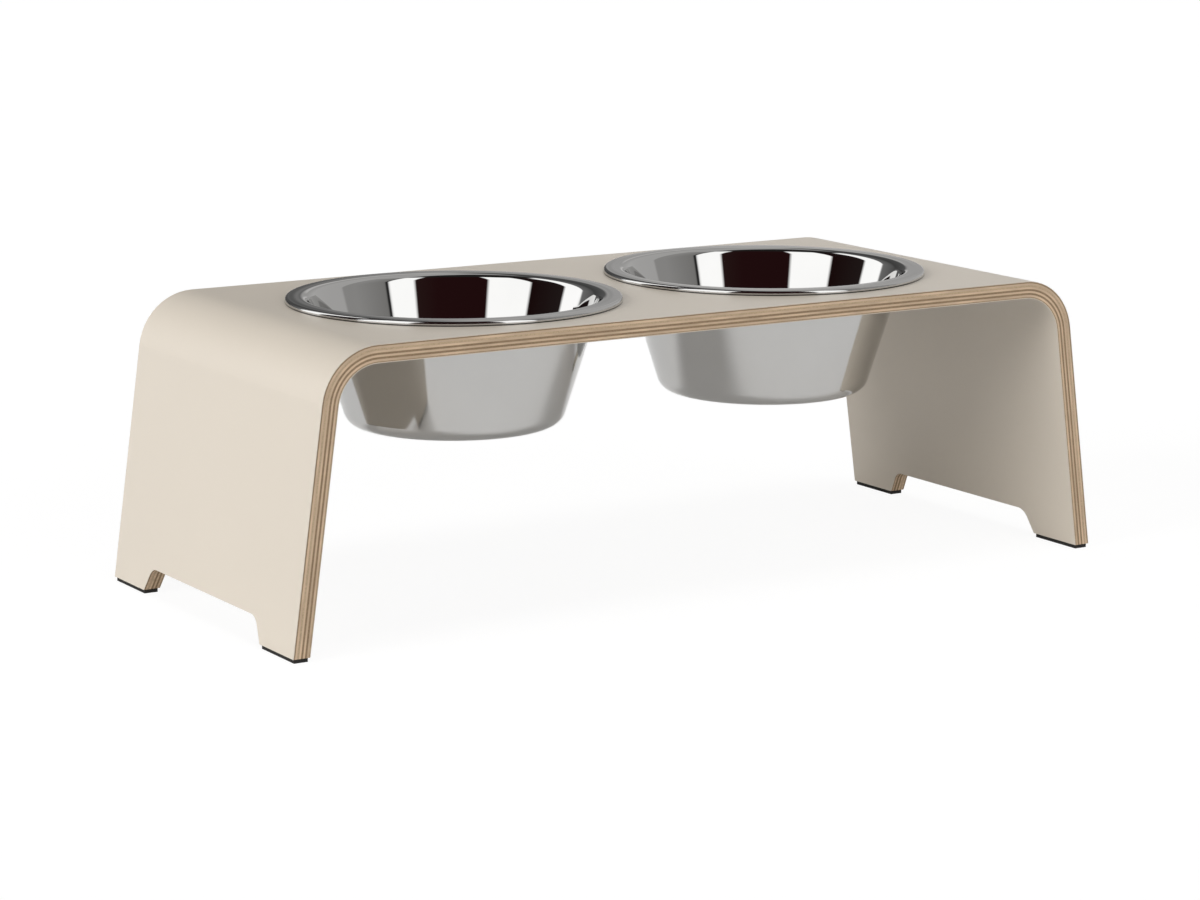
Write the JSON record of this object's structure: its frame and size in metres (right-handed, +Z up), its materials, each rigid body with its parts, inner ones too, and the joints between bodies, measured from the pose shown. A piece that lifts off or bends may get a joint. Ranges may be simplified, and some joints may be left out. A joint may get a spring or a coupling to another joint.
{
  "type": "elevated dog feeder",
  "caption": "Low bent-plywood bridge with splayed legs, cream laminate faces and round holes that hold lift-out steel feeding bowls; soft pads under its feet.",
  "frame": {"origin": "on the floor, under the middle of the bridge", "axes": "+X along the bridge, +Y towards its back edge, +Z up"},
  "size_m": [0.632, 0.265, 0.1988],
  "materials": {
    "laminate": "matt cream laminate",
    "cross_grain_veneer": "sanded end grain",
    "long_grain_veneer": "sanded long grain",
    "bowl_steel": "polished inside, a little duller outside",
    "pad_rubber": "matt black",
    "adhesive": "black acrylic film"
  },
  "bodies": {
    "stand": {"outer_laminate": "laminate", "outer_face_veneer": "cross_grain_veneer", "core_veneer_1": "long_grain_veneer", "core_veneer_2": "cross_grain_veneer", "core_veneer_3": "long_grain_veneer", "core_veneer_4": "cross_grain_veneer", "core_veneer_5": "long_grain_veneer", "core_veneer_6": "cross_grain_veneer", "core_veneer_7": "long_grain_veneer", "inner_face_veneer": "cross_grain_veneer", "inner_laminate": "laminate", "front_left_pad": "pad_rubber", "front_right_pad": "pad_rubber", "back_left_pad": "pad_rubber", "back_right_pad": "pad_rubber", "front_left_pad_adhesive": "adhesive", "front_right_pad_adhesive": "adhesive", "back_left_pad_adhesive": "adhesive", "back_right_pad_adhesive": "adhesive"},
    "left_bowl": {"left_bowl": "bowl_steel"},
    "right_bowl": {"right_bowl": "bowl_steel"}
  },
  "joints": [
    {"name": "left_bowl_lift", "type": "slide", "parent": "stand", "child": "left_bowl", "axis": [0, 0, 1], "range_m": [0, 0.12]},
    {"name": "right_bowl_lift", "type": "slide", "parent": "stand", "child": "right_bowl", "axis": [0, 0, 1], "range_m": [0, 0.12]}
  ]
}
